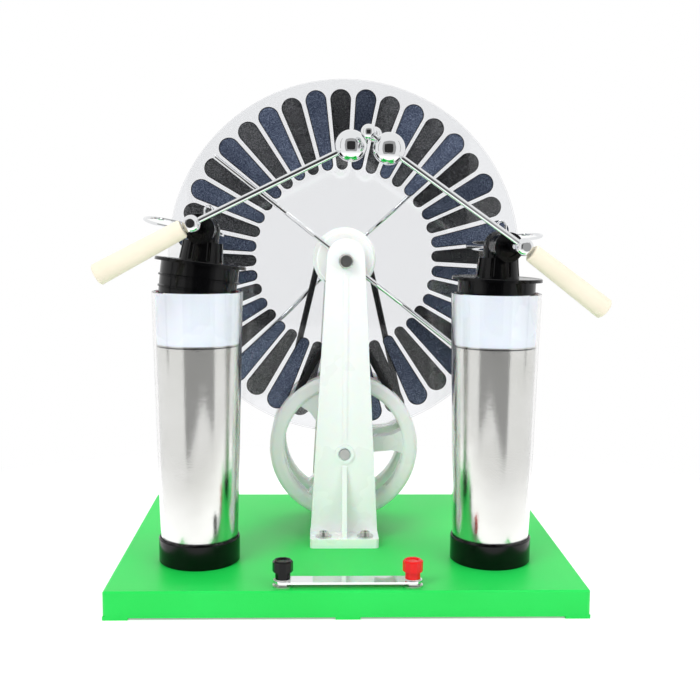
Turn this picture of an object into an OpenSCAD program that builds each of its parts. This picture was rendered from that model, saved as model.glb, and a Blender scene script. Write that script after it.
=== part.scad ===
// Influence machine for classroom electrostatics: two clear discs with foil sectors turn opposite
// ways between two uprights, and charge two foil-coated jars that carry the discharge rods.
// Frame: +X to the right, +Y away from the front, +Z up; origin under the middle of the base.

/* [Base] */
// Width of the base board
base_w = 330; // [320:1:345]
// Depth of the base board
base_d = 250; // [246:1:270]
// Thickness of the base board without its pads
base_t = 18.4; // [16:0.2:24]
// Thickness of the skin on top of the moulded ribs
base_skin = 4; // [3:0.5:6]
// Thickness of the rim wall round the ribs
base_wall = 3; // [2.4:0.2:5]
// Thickness of one moulded rib under the board
base_rib = 2.4; // [1.6:0.2:3.2]
// Height of the foot pads under the board
pad_h = 1.6; // [1.2:0.1:3]
// Length of one foot pad along the edge
pad_l = 17; // [12:1:24]

/* [Discs] */
// Diameter of each clear disc
disc_d = 280; // [274:1:284]
// Thickness of each clear disc
disc_t = 3; // [2.5:0.1:3.5]
// Clear space between the two discs
disc_gap = 4; // [3.2:0.2:5]
// Distance from the middle of the base back to the plane between the discs
disc_y = 37; // [35:0.5:39]
// Number of foil sectors on each disc
sector_n = 20; // [16:2:22]
// Radius at which a sector starts
sector_in = 70.4; // [66:0.2:76]
// Radius at which a sector ends
sector_out = 133.2; // [128:0.2:134]
// Width of a sector near the hub
sector_w1 = 9; // [7:0.2:10]
// Width of a sector near the rim
sector_w2 = 16.4; // [13:0.2:17]
// Thickness of the foil sectors
sector_t = 0.3; // [0.2:0.05:0.4]

/* [Axles] */
// Height of the disc axle above the table
axle_z = 237.2; // [236:0.2:240]
// Height of the drive shaft above the table
drive_z = 89; // [87:0.2:91]
// Diameter of the disc axle
axle_d = 8; // [7:0.5:9]
// Diameter of the drive shaft
shaft_d = 8; // [7:0.5:8]
// Diameter of the threaded ends of the disc axle
thread_d = 6; // [5:0.5:6]

/* [Uprights] */
// Distance from the disc plane to the outer face of an upright
face_u = 51.4; // [50:0.2:54]
// Depth of the channel section of an upright
upright_t = 12; // [11:0.5:13]
// Thickness of the outer plate of an upright
upright_skin = 4.5; // [3.5:0.5:5.5]
// Half of the width of an upright at its foot
upright_hw = 26.2; // [25:0.2:28]
// Radius of the round head of an upright
head_r = 14.2; // [13.4:0.2:16]
// Thickness of the foot of an upright
foot_t = 7; // [5:0.5:9]
// Reach of the foot in front of the outer face
foot_reach = 19; // [18:0.5:21]
// Distance between the two screws of a foot
screw_span = 32; // [28:1:34]

/* [Pulleys and belts] */
// Diameter of the round belts
belt_d = 5; // [4:0.5:5]
// Radius of the belt's centre line on the hub pulleys
hub_r = 19.5; // [18.5:0.5:21]
// Radius of the belt's centre line on the drive wheels
wheel_r = 53; // [50:0.5:54]
// Distance from the disc plane to the middle of each belt
belt_u = 20; // [19:0.5:21]
// Depth of a drive wheel's rim
wheel_t = 18; // [16:0.5:19]
// Thickness of a drive wheel's rim inside the belt's centre line
rim_wall = 6; // [5.5:0.5:9]
// Width of a drive wheel's spokes
spoke_w = 12; // [8:0.5:15]
// Angle at which the first spoke stands
spoke_a = 5; // [0:1:30]

/* [Crank] */
// Distance from the drive shaft to the pin of the grip
crank_r = 56; // [40:1:56]
// Length of the turning grip
grip_l = 44; // [36:1:60]
// Diameter of the turning grip
grip_d = 16; // [12:0.5:17]

/* [Leyden jars] */
// Distance of each jar from the middle of the base
jar_x = 107; // [105:0.5:112]
// Distance of the jars in front of the middle of the base
jar_y = 56; // [54:0.5:60]
// Height of the jar's wall above the base board
jar_h = 196.8; // [194:0.2:202]
// Outer radius of a jar at its rim
jar_r2 = 32.3; // [32:0.1:33]
// Outer radius of a jar at its foot
jar_r1 = 27.65; // [27:0.05:28.5]
// Thickness of the clear wall
jar_wall = 1.8; // [1.5:0.1:2]
// Thickness of the milky inner cup
cup_wall = 0.6; // [0.5:0.1:0.7]
// Height of the black foot ring
ring_h = 18.3; // [14:0.1:22]
// Outer radius of the black foot ring
ring_r = 29.4; // [29.4:0.1:31]
// Height to which the foils reach above the base board
foil_h = 160; // [140:1:170]

/* [Stoppers and rods] */
// How far the left and the right stopper stand above their seats
lift = [18.8, 8.9];
// Lean of the left and the right stopper to the right
lean = [7, 1.6];
// Lean of the left and the right stopper to the back
lean_back = [2.4, 0];
// Outward turn of the left and the right electrode bar
bar_yaw = [3, 7.6];
// Rise of the left and the right electrode bar to the front
bar_rise = [4.8, 1];
// Elevation of the left and the right discharge rod
rod_a = [26.4, 34.1];
// Distance across between the centres of the large balls
ball_apart = 24; // [22:0.5:40]
// Distance of the middle between the large balls to the right of the machine's middle
meet_x = 11.7; // [5:0.1:14]
// Downward bend of the left and the right handle against its rod
handle_bend = [2.2, 1.8];
// Diameter of the discharge rods
rod_d = 4; // [3:0.5:4.5]
// Diameter of the pivot balls
pivot_d = 12; // [11:0.5:14]
// Diameter of the large discharge balls
ball_d = 21; // [18:0.5:21]
// Diameter of the small discharge balls
small_d = 10; // [8:0.5:10]
// Diameter of the electrode bars
bar_d = 8; // [6:0.5:8.5]
// Reach of an electrode bar from its elbow to the pivot ball
bar_front = 55.5; // [50:0.5:58]
// Reach of an electrode bar behind its elbow
bar_back = 72; // [68:0.5:73]
// Length of the insulating handles
handle_l = 65; // [50:1:75]
// Diameter of a handle at its far end
handle_d = 15; // [13:0.5:17]

/* [Collectors] */
// Diameter of the collector wires
wire_d = 2.4; // [1.8:0.2:2.6]
// Distance from the disc plane to each leg of a collector fork
fork_u = 17; // [16.5:0.5:18]
// Distance from the machine's middle at which the fork's round end starts
fork_x = 141.5; // [141:0.5:146]
// Upward slope of the left and the right fork to the outside
fork_rise = [11.2, 6.3];
// Tilt that lifts the rear leg of the left and the right fork
fork_roll = [7, 5];
// Diameter of the neutraliser rods
neutral_d = 3.5; // [2.5:0.5:4]
// Angle of the front neutraliser rod
neutral_front_a = 142.3; // [136:0.1:149]
// Angle of the rear neutraliser rod
neutral_rear_a = 44; // [38:0.1:52]
// Reach of the neutraliser rods from the axle
neutral_l = 130; // [120:1:131]

/* [Terminals] */
// Distance of each terminal from the middle of the base
post_x = 44.4; // [40:0.2:50]
// Distance of the terminals in front of the middle of the base
post_y = 114; // [112:0.5:115]
// Diameter of the terminal studs
post_d = 4; // [3.5:0.5:4]
// Width of the shorting link
link_w = 13; // [11:0.5:14]
// Thickness of the shorting link
link_t = 1.5; // [1:0.1:2]
// Diameter of a terminal knob
knob_d = 14; // [12:0.5:15]
// Height of a terminal knob
knob_h = 13; // [11:0.5:16]

/* [Hidden] */
$fn = 64;

// Clearances: between turning faces, round a running shaft, and round a piece that only passes
gap = 0.3;
run = 0.05;
pass = 0.2;

// Left is side 0 and right is side 1; sx(side) is the sign of X there
function sx(side) = side == 0 ? -1 : 1;
function unit(v) = v / norm(v);

base_top = pad_h + base_t;
foot_top = base_top + foot_t;

// A child drawn in X and Z, made solid from y0 to y0 + t
module slab_xz(y0, t) {
    translate([0, y0 + t, 0]) rotate([90, 0, 0]) linear_extrude(t) children();
}

// A child drawn in Y and Z, made solid from x0 to x0 + t
module slab_yz(x0, t) {
    translate([x0, 0, 0]) rotate([90, 0, 90]) linear_extrude(t) children();
}

// Puts a child whose +Z points to the front on a shaft at height z, from the disc plane
module on_shaft(z) {
    translate([0, disc_y, z]) rotate([90, 0, 0]) children();
}

// The same on the rear side of the disc plane
module behind_shaft(z) {
    on_shaft(z) mirror([0, 0, 1]) children();
}

module tube(r_out, r_in, z0, z1) {
    translate([0, 0, z0]) difference() {
        cylinder(r = r_out, h = z1 - z0);
        translate([0, 0, -1]) cylinder(r = r_in, h = z1 - z0 + 2);
    }
}

module rod(r, z0, z1) {
    translate([0, 0, z0]) cylinder(r = r, h = z1 - z0);
}

// Flat bar with round ends of radii r1 and r2 whose centres lie l apart along X. Its straight sides
// run 0.01 inside the tangents, so that they cross the round ends cleanly.
module taper_link(r1, r2, l) {
    s = (r2 - r1) / l;
    c = sqrt(1 - s * s);
    q1 = r1 - 0.01;
    q2 = r2 - 0.01;
    circle(r = r1);
    translate([l, 0]) circle(r = r2);
    polygon([[-q1 * s, q1 * c], [-q1 * s, -q1 * c], [l - q2 * s, -q2 * c], [l - q2 * s, q2 * c]]);
}

module hex_nut(af, bore_r, h) {
    difference() {
        cylinder(r = af / 2 / cos(30), h = h, $fn = 6);
        translate([0, 0, -1]) cylinder(r = bore_r, h = h + 2);
    }
}

// Pan-head screw that points down from z = 0, with a cross recess
module pan_screw(r, head_r, head_h, l) {
    difference() {
        union() {
            cylinder(r1 = head_r, r2 = head_r * 0.72, h = head_h);
            translate([0, 0, -l]) cylinder(r = r, h = l + head_h / 2);
        }
        for (a = [0, 90]) rotate([0, 0, a])
            translate([-head_r * 0.5, -head_r * 0.1, head_h * 0.4])
                cube([head_r, head_r * 0.2, head_h]);
    }
}

// ---- tube swept along points: a ring of corners at each point, square to the path ----
function tangent(p, i, closed) =
    let (n = len(p), a = closed ? (i + n - 1) % n : max(i - 1, 0),
         b = closed ? (i + 1) % n : min(i + 1, n - 1))
    unit(p[b] - p[a]);

function ring_at(c, t, up, r, sides) =
    let (b = unit(cross(t, up)), d = cross(t, b))
    [for (k = [0 : sides - 1]) c + r * (cos(360 * k / sides) * b + sin(360 * k / sides) * d)];

module swept(p, r, up, sides, closed) {
    n = len(p);
    m = closed ? n : n - 1;
    pts = [for (i = [0 : n - 1]) each ring_at(p[i], tangent(p, i, closed), up, r, sides)];
    sidesf = [for (i = [0 : m - 1], k = [0 : sides - 1])
        let (a = i * sides + k, b = i * sides + (k + 1) % sides,
             c = ((i + 1) % n) * sides + (k + 1) % sides, d = ((i + 1) % n) * sides + k)
        each [[a, c, b], [a, d, c]]];
    caps = closed ? [] : [[for (k = [0 : sides - 1]) k],
        [for (k = [sides - 1 : -1 : 0]) (n - 1) * sides + k]];
    polyhedron(points = pts, faces = concat(sidesf, caps));
}

function bezier(a, b, c, n) =
    [for (i = [0 : n]) let (t = i / n) (1 - t) * (1 - t) * a + 2 * t * (1 - t) * b + t * t * c];

// ================================ base ================================
cells_x = ceil((base_w - 2 * base_wall) / 33);
cells_y = ceil((base_d - 2 * base_wall) / 31);
cell_w = (base_w - 2 * base_wall + base_rib) / cells_x - base_rib;
cell_d = (base_d - 2 * base_wall + base_rib) / cells_y - base_rib;
pad_w = 12;
edge_bevel = 1.2;
corner_r = 3;
boss_r = 7;
stud_boss_z = pad_h + 4.4;
strip_w = 8;
strip_t = 0.8;
screw_r = 2.5;
jar_screw_r = 2;
centre_pad_r = 11;

screw_u = face_u + foot_reach - 8;
upright_screw_at = [for (s = [-1, 1], t = [-1, 1]) [s * screw_span / 2, disc_y + t * screw_u]];
jar_at = [for (side = [0, 1]) [sx(side) * jar_x, -jar_y]];
post_at = [for (side = [0, 1]) [sx(side) * post_x, -post_y]];

module base_outline(w, d) {
    square([w - 2 * corner_r, d], center = true);
    square([w, d - 2 * corner_r], center = true);
    for (x = [-1, 1], y = [-1, 1])
        translate([x * (w / 2 - corner_r), y * (d / 2 - corner_r)]) circle(r = corner_r);
}

// The slots in the ribs that a lead strip lies in, from a jar's screw to its terminal
module lead_path(side, w, z0, z1) {
    j = jar_at[side];
    p = post_at[side];
    translate([j[0] - w / 2, p[1] - w / 2, z0]) cube([w, j[1] - p[1] + w, z1 - z0]);
    translate([min(j[0], p[0]) - w / 2, p[1] - w / 2, z0])
        cube([abs(j[0] - p[0]) + w, w, z1 - z0]);
}

module base() {
    color([0.22, 0.86, 0.40]) difference() {
        union() {
            difference() {
                translate([0, 0, pad_h]) linear_extrude(base_t) base_outline(base_w, base_d);
                for (i = [0 : cells_x - 1], j = [0 : cells_y - 1])
                    translate([-base_w / 2 + base_wall + i * (cell_w + base_rib),
                        -base_d / 2 + base_wall + j * (cell_d + base_rib), pad_h - 1])
                        cube([cell_w, cell_d, base_t - base_skin + 1]);
                for (side = [0, 1])
                    lead_path(side, strip_w + 2, pad_h - 1, stud_boss_z + pass);
            }
            for (p = upright_screw_at) translate([p[0], p[1], stud_boss_z])
                cylinder(r = boss_r, h = base_top - stud_boss_z - 1);
            for (p = concat(jar_at, post_at)) translate([p[0], p[1], stud_boss_z])
                cylinder(r = boss_r, h = base_top - stud_boss_z - 1);
            for (x = [-1, 0, 1], y = [-1, 1])
                translate([x * (base_w - pad_l) / 2 - pad_l / 2,
                    y * (base_d - pad_w) / 2 - pad_w / 2, 0]) cube([pad_l, pad_w, pad_h + 1]);
            cylinder(r = centre_pad_r, h = base_top - 1);
        }
        for (s = [-1, 1]) {
            translate([s * base_w / 2, 0, base_top]) rotate([0, 45, 0])
                cube([edge_bevel * sqrt(2), base_d + 2, edge_bevel * sqrt(2)], center = true);
            translate([0, s * base_d / 2, base_top]) rotate([45, 0, 0])
                cube([base_w + 2, edge_bevel * sqrt(2), edge_bevel * sqrt(2)], center = true);
        }
        for (p = upright_screw_at)
            translate([p[0], p[1], 0]) cylinder(r = screw_r, h = base_top + 1);
        for (p = jar_at)
            translate([p[0], p[1], 0]) cylinder(r = jar_screw_r, h = base_top + 1);
        for (p = post_at)
            translate([p[0], p[1], 0]) cylinder(r = post_d / 2, h = base_top + 1);
    }
}

nut_h = 3.2;
nut_af = 7;

module lead_strips() {
    color([0.80, 0.62, 0.28]) for (side = [0, 1]) difference() {
        lead_path(side, strip_w, stud_boss_z - strip_t, stud_boss_z);
        translate([jar_at[side][0], jar_at[side][1], 0]) cylinder(r = jar_screw_r, h = base_top);
        translate([post_at[side][0], post_at[side][1], 0]) cylinder(r = post_d / 2, h = base_top);
    }
}

// ================================ uprights ================================
head_z = axle_z + 2.5;
boss_in_u = face_u - upright_t - 0.9;
boss_r1 = 9;
seat_boss_r = 7.5;
seat_boss_h = 1.2;
gusset_w = 3.7;
gusset_top = drive_z - seat_boss_r - 2;
wall_t = 3;
washer_h = 1;
axle_nut_h = 5;
axle_nut_af = 10;

// Outline of the upright in X and Z, drawn smaller by inset
module column_outline(inset, z0) {
    polygon([[-upright_hw + inset, z0], [upright_hw - inset, z0],
        [head_r - inset, head_z], [-head_r + inset, head_z]]);
    translate([0, head_z]) circle(r = head_r - inset);
}

// One upright, standing with its outer face to the front; y counts from the disc plane
module upright() {
    y_face = -face_u;
    foot_d = foot_reach + upright_t;
    difference() {
        union() {
            difference() {
                slab_xz(y_face, upright_t) column_outline(0, base_top + 1);
                slab_xz(y_face + upright_skin, upright_t) column_outline(wall_t, foot_top);
            }
            // ribs inside the channel, which keep the walls from bowing
            translate([-wall_t / 2, y_face + 1, foot_top - 1])
                cube([wall_t, upright_t - 2, axle_z - foot_top]);
            for (z = [drive_z + 48, drive_z + 96]) difference() {
                translate([-upright_hw, y_face + 1, z]) cube([2 * upright_hw, upright_t - 3, wall_t]);
                slab_xz(y_face - 1, upright_t + 2) difference() {
                    translate([-2 * upright_hw, 0]) square([4 * upright_hw, axle_z + 60]);
                    column_outline(1, base_top);
                }
            }
            for (z = [axle_z, drive_z]) translate([0, -boss_in_u, z]) rotate([90, 0, 0])
                cylinder(r = boss_r1, h = face_u - boss_in_u - 1);
            // foot with round front corners
            translate([0, y_face - foot_reach, base_top]) linear_extrude(foot_t) union() {
                translate([-upright_hw, corner_r]) square([2 * upright_hw, foot_d - corner_r]);
                translate([-upright_hw + corner_r, 0])
                    square([2 * (upright_hw - corner_r), foot_d]);
                for (s = [-1, 1]) translate([s * (upright_hw - corner_r), corner_r])
                    circle(r = corner_r);
            }
            // gusset down the front, the seam rib above it and the raised seat of the shaft
            slab_yz(-gusset_w / 2, gusset_w)
                polygon([[y_face + 1, foot_top - 1], [y_face - foot_reach + 1.5, foot_top - 1],
                    [y_face - foot_reach + 1.5, foot_top + 1], [y_face - 0.8, gusset_top],
                    [y_face + 1, gusset_top]]);
            translate([-gusset_w / 2, y_face - 0.8, drive_z])
                cube([gusset_w, 2, axle_z - drive_z - axle_nut_af]);
            translate([0, y_face + 1, drive_z]) rotate([90, 0, 0])
                cylinder(r = seat_boss_r, h = seat_boss_h + 1);
        }
        for (s = [-1, 1]) translate([s * screw_span / 2, -screw_u, base_top - 1])
            cylinder(r = screw_r + pass, h = foot_t + 2);
        translate([0, 1, axle_z]) rotate([90, 0, 0]) cylinder(r = thread_d / 2 + run, h = face_u + 9);
        translate([0, 1, drive_z]) rotate([90, 0, 0]) cylinder(r = shaft_d / 2 + run, h = face_u + 9);
        translate([0, y_face - seat_boss_h + 1, drive_z]) rotate([90, 0, 0])
            cylinder(r = shaft_d / 2 + 0.8, h = 5);
    }
}

module front_upright() {
    color([0.95, 0.98, 0.95]) translate([0, disc_y, 0]) upright();
}

module rear_upright() {
    color([0.95, 0.98, 0.95]) translate([0, disc_y, 0]) mirror([0, 1, 0]) upright();
}

module upright_screws() {
    color([0.75, 0.75, 0.77]) for (p = upright_screw_at) translate([p[0], p[1], foot_top]) {
        difference() {
            cylinder(r = 6.2, h = washer_h);
            translate([0, 0, -1]) cylinder(r = screw_r, h = washer_h + 2);
        }
        translate([0, 0, washer_h])
            pan_screw(screw_r, 4.6, 3, foot_top + washer_h - stud_boss_z - 3);
    }
}

// ================================ disc axle ================================
axle_end_u = face_u + washer_h + axle_nut_h + 2;

module axle() {
    color([0.78, 0.78, 0.80]) on_shaft(axle_z) {
        rod(axle_d / 2, -boss_in_u, boss_in_u);
        rod(thread_d / 2, -axle_end_u, axle_end_u);
    }
}

module axle_nuts() {
    color([0.80, 0.80, 0.82]) for (s = [0, 1]) on_shaft(axle_z) mirror([0, 0, s]) {
        tube(5.6, thread_d / 2, face_u, face_u + washer_h);
        translate([0, 0, face_u + washer_h]) hex_nut(axle_nut_af, thread_d / 2, axle_nut_h);
    }
}

hub_in_u = 0.6;

module disc_spacer() {
    color([0.9, 0.9, 0.88]) on_shaft(axle_z) tube(7, axle_d / 2, -hub_in_u + pass, hub_in_u - pass);
}

// ================================ discs ================================
disc_in_u = disc_gap / 2;
disc_out_u = disc_in_u + disc_t;
spigot_r = 8;

module plain_disc() {
    tube(disc_d / 2, spigot_r, disc_in_u, disc_out_u);
}

module sectors(offset) {
    r1 = sector_w1 / 2;
    r2 = sector_w2 / 2;
    for (i = [0 : sector_n - 1]) rotate([0, 0, offset + i * 360 / sector_n])
        translate([sector_in + r1, 0, disc_out_u]) linear_extrude(sector_t)
            taper_link(r1, r2, sector_out - r2 - sector_in - r1);
}

// Angles of the two sets of sectors: half a pitch apart, as they stand in the rest pose
front_set = 10.7;
rear_set = front_set + 180 / sector_n;

module front_disc() {
    color([0.93, 0.95, 0.97, 0.35]) on_shaft(axle_z) plain_disc();
}

module rear_disc() {
    color([0.93, 0.95, 0.97, 0.35]) behind_shaft(axle_z) plain_disc();
}

module front_sectors() {
    color([0.55, 0.57, 0.62]) on_shaft(axle_z) sectors(front_set);
}

module rear_sectors() {
    color([0.40, 0.45, 0.56]) behind_shaft(axle_z) sectors(rear_set);
}

// ================================ pulleys and belts ================================
groove_lip = 2.8;
groove_w1 = belt_d / 2 + 0.4;
groove_w2 = belt_d / 2 + 2;
hub_out_u = belt_u + 10;

function groove_floor(r) = r - belt_d / 2 - gap;

// Hub pulley profile, from the spigot in the disc to the front flange
function hub_profile() = let (f = hub_r + groove_lip, b = groove_floor(hub_r)) [
    [axle_d / 2 + run, hub_in_u], [spigot_r, hub_in_u], [spigot_r, disc_out_u],
    [25, disc_out_u], [25, disc_out_u + 2], [12, disc_out_u + 3.5],
    [12, belt_u - groove_w2 - 3.4], [f - 1, belt_u - groove_w2 - 3.4],
    [f, belt_u - groove_w2 - 2.4], [f, belt_u - groove_w2],
    [b, belt_u - groove_w1], [b, belt_u + groove_w1], [f, belt_u + groove_w2],
    [f, hub_out_u - 1.2], [f - 1.2, hub_out_u], [axle_d / 2 + run, hub_out_u]];

module hub_pulley() {
    rotate_extrude() polygon(hub_profile());
}

module front_hub_pulley() {
    color([0.97, 0.97, 0.95]) on_shaft(axle_z) hub_pulley();
}

module rear_hub_pulley() {
    color([0.97, 0.97, 0.95]) behind_shaft(axle_z) hub_pulley();
}

wheel_out = wheel_r + 5.5;
rim_in = wheel_r - rim_wall;
wheel_u0 = belt_u - wheel_t / 2;
wheel_u1 = belt_u + wheel_t / 2;
wheel_hub_r = 12;
rim_round = 3.6;

// Quarter circle of points about [r, u], from angle a0 to a1
function quarter(r, u, s, a0, a1) = [for (a = [a0 : (a1 - a0) / 5 : a1]) [r + s * cos(a), u + s * sin(a)]];

function rim_profile() = let (b = groove_floor(wheel_r), q = rim_round) concat(
    quarter(rim_in + q, wheel_u0 + q, q, 180, 270),
    quarter(wheel_out - 2, wheel_u0 + 2, 2, -90, 0),
    [[wheel_out, belt_u - groove_w2], [b, belt_u - groove_w1],
     [b, belt_u + groove_w1], [wheel_out, belt_u + groove_w2]],
    quarter(wheel_out - q, wheel_u1 - q, q, 0, 90),
    quarter(rim_in + q, wheel_u1 - q, q, 90, 180));

// Drive wheel: grooved rim, three spokes that widen to the rim, and a long hub
module drive_wheel(turn) {
    hub_end = boss_in_u - gap;
    difference() {
        union() {
            rotate_extrude() polygon(rim_profile());
            rod(wheel_hub_r, wheel_u0 - 1.5, wheel_u1 + 3);
            rod(8, wheel_u1, hub_end);
            for (i = [0 : 2]) rotate([0, 0, turn + i * 120])
                translate([0, 0, belt_u - 6]) linear_extrude(12) {
                    translate([wheel_hub_r - 2, -spoke_w / 2])
                        square([rim_in - wheel_hub_r + 4, spoke_w]);
                    polygon([[rim_in - 9, spoke_w / 2], [rim_in + 1, spoke_w / 2 + 4],
                        [rim_in + 1, -spoke_w / 2 - 4], [rim_in - 9, -spoke_w / 2]]);
                }
        }
        rod(shaft_d / 2, 0, face_u);
    }
}

module front_drive_wheel() {
    color([0.93, 0.97, 0.94]) on_shaft(drive_z) drive_wheel(spoke_a);
}

module rear_drive_wheel() {
    color([0.93, 0.97, 0.94]) behind_shaft(drive_z) drive_wheel(spoke_a);
}

belt_c = axle_z - drive_z;

// A strand is straight between its wheels; it moves aside by bow where it crosses the other,
// at the share tc of its way, and is back in line by the share te
function ease(x) = x <= 0 ? 0 : x * x * (3 - 2 * x);
function strand(a, b, bow, tc, te, n) = [for (i = [1 : n - 1])
    let (t = i / n, p = a + t * (b - a), s = t < tc ? ease(t / tc) : ease((te - t) / (te - tc)))
    [p[0], p[1] + bow * s, p[2]]];

function on_wheel(r, z, a) = [r * cos(a), 0, z + r * sin(a)];

function wheel_arc(r, z, a0, a1, n) = [for (i = [0 : n]) on_wheel(r, z, a0 + (a1 - a0) * i / n)];

// Open belt: both wheels turn the same way
function open_belt() = let (a = asin((wheel_r - hub_r) / belt_c)) concat(
    wheel_arc(hub_r, 0, a, 180 - a, 14),
    strand(on_wheel(hub_r, 0, 180 - a), on_wheel(wheel_r, -belt_c, 180 - a), 0, 0.3, 1, 3),
    wheel_arc(wheel_r, -belt_c, 180 - a, 360 + a, 26),
    strand(on_wheel(wheel_r, -belt_c, a), on_wheel(hub_r, 0, a), 0, 0.3, 1, 3));

// Crossed belt: the strands pass each other beside the crossing, so the disc turns backwards
cross_bow = belt_d / 2 + 0.4;
cross_at = hub_r / (hub_r + wheel_r);
function reversed(p) = [for (i = [len(p) - 1 : -1 : 0]) p[i]];
function crossed_belt() = let (b = -asin((hub_r + wheel_r) / belt_c)) concat(
    wheel_arc(hub_r, 0, b, 180 - b, 18),
    strand(on_wheel(hub_r, 0, 180 - b), on_wheel(wheel_r, -belt_c, -b), cross_bow,
        cross_at, 0.72, 13),
    wheel_arc(wheel_r, -belt_c, -b, b - 180, 30),
    reversed(strand(on_wheel(hub_r, 0, b), on_wheel(wheel_r, -belt_c, 180 + b), -cross_bow,
        cross_at, 0.72, 13)));

module front_belt() {
    color([0.08, 0.08, 0.09]) translate([0, disc_y - belt_u, axle_z])
        swept(crossed_belt(), belt_d / 2, [0, 1, 0], 10, true);
}

module rear_belt() {
    color([0.08, 0.08, 0.09]) translate([0, disc_y + belt_u, axle_z])
        swept(open_belt(), belt_d / 2, [0, 1, 0], 10, true);
}

// ================================ drive shaft and crank ================================
arm_u = face_u + foot_reach + 1.5;
arm_t = 6;
arm_r1 = 9;
arm_r2 = 7;
pin_r = 3;
pin_head_r = 5.5;
pin_head_h = 2.5;
grip_u = arm_u + arm_t + 0.4;

module drive_shaft() {
    color([0.72, 0.72, 0.74]) on_shaft(drive_z)
        rod(shaft_d / 2, -(arm_u + arm_t + 1), face_u + seat_boss_h + 0.6);
}

module crank_arm() {
    color([0.72, 0.72, 0.74]) behind_shaft(drive_z) rotate([0, 0, -90]) difference() {
        union() {
            translate([0, 0, arm_u]) linear_extrude(arm_t) taper_link(arm_r1, arm_r2, crank_r);
            rod(arm_r1, arm_u - 5, arm_u + arm_t);
        }
        rod(shaft_d / 2, arm_u - 6, arm_u + arm_t + 1);
        translate([crank_r, 0, 0]) rod(pin_r, arm_u - 1, arm_u + arm_t + 1);
    }
}

module crank_pin() {
    head_u = grip_u + grip_l + 0.4;
    color([0.78, 0.78, 0.80]) behind_shaft(drive_z) translate([0, -crank_r, 0]) {
        rod(pin_r, arm_u, head_u + 1);
        rod(pin_head_r, head_u, head_u + pin_head_h);
    }
}

// Turning grip: a waist behind a flared collar, bored to run on its pin
module crank_grip() {
    r = grip_d / 2;
    l = grip_l;
    color([0.93, 0.90, 0.82]) behind_shaft(drive_z) translate([0, -crank_r, grip_u])
        rotate_extrude() polygon([[pin_r + run, 0], [r - 2, 0], [r - 0.6, 0.8], [r - 0.6, 3],
            [r - 2.2, 8], [r - 1.6, l * 0.35], [r - 0.2, l * 0.6], [r, l * 0.78],
            [r - 0.6, l - 4], [r - 2.4, l - 1], [r - 3.6, l], [pin_r + run, l]]);
}

// ================================ neutraliser rods ================================
collar_u0 = hub_out_u + 0.5;
collar_u1 = boss_in_u - gap;
collar_r = 8;
arm_mid_u = (collar_u0 + collar_u1) / 2;
arm_low_u = disc_out_u + sector_t + 0.3 + 3.2 + neutral_d / 2;
brush_r = 0.9;

// Round stick from a to b with a ball at b, for rods that bend
module stick(a, b, r) {
    v = b - a;
    translate(a) rotate([0, acos(v[2] / norm(v)), atan2(v[1], v[0])]) cylinder(r = r, h = norm(v));
    translate(b) sphere(r = r);
}

module neutral_arm() {
    r = neutral_d / 2;
    p = [[collar_r - 3, 0, arm_mid_u], [30, 0, arm_mid_u], [58, 0, arm_low_u],
        [neutral_l - r, 0, arm_low_u]];
    for (i = [0 : 2]) stick(p[i], p[i + 1], r);
    // brush that reaches down to the sectors
    translate([neutral_l - r, 0, disc_out_u + sector_t + gap])
        cylinder(r = brush_r, h = arm_low_u - disc_out_u - sector_t - gap);
}

module neutraliser() {
    difference() {
        union() {
            rod(collar_r, collar_u0, collar_u1);
            neutral_arm();
            rotate([0, 0, 180]) neutral_arm();
        }
        rod(axle_d / 2 + run, collar_u0 - 1, collar_u1 + 1);
    }
}

module front_neutraliser() {
    color([0.80, 0.80, 0.83]) on_shaft(axle_z) rotate([0, 0, neutral_front_a]) neutraliser();
}

module rear_neutraliser() {
    color([0.80, 0.80, 0.83]) behind_shaft(axle_z) rotate([0, 0, neutral_rear_a]) neutraliser();
}

// ================================ terminals ================================
collar_h = 3;
link_z = base_top + collar_h;
knob_washer_h = 0.8;
washer_z = link_z + link_t;
knob_z = washer_z + knob_washer_h;
stud_top = knob_z + knob_h - 4;

// Screw-in stud with its lower nut and upper collar
module terminal_posts() {
    color([0.80, 0.80, 0.82]) for (p = post_at) translate([p[0], p[1], 0]) {
        rod(post_d / 2, stud_boss_z - strip_t - nut_h - 0.6, stud_top);
        difference() {
            union() {
                rod(7, base_top, base_top + 1);
                translate([0, 0, base_top + 1])
                    cylinder(r = 5.8, h = collar_h - 1, $fn = 6);
                translate([0, 0, stud_boss_z - strip_t - nut_h])
                    cylinder(r = nut_af / 2 / cos(30), h = nut_h, $fn = 6);
            }
            rod(post_d / 2, 0, base_top + 20);
        }
    }
}

// The link swings on the black post and hooks round the red one through a slot in its back edge
module shorting_link() {
    l = 2 * post_x;
    r = link_w / 2;
    slot_w = post_d + 1;
    color([0.80, 0.80, 0.82]) translate([-post_x, -post_y, link_z])
        linear_extrude(link_t) difference() {
            union() {
                circle(r = r);
                translate([l, 0]) circle(r = r);
                translate([0, -r]) square([l, 2 * r]);
            }
            circle(r = post_d / 2 + run);
            translate([l, 0]) circle(r = slot_w / 2);
            translate([l - slot_w / 2, 0]) square([slot_w, r + 1]);
        }
}

module clamp_washer(side) {
    translate([post_at[side][0], post_at[side][1], 0])
        tube(5.5, post_d / 2 + run, washer_z, knob_z);
}

module black_washer() {
    color([0.78, 0.78, 0.80]) clamp_washer(0);
}

module red_washer() {
    color([0.78, 0.78, 0.80]) clamp_washer(1);
}

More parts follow.
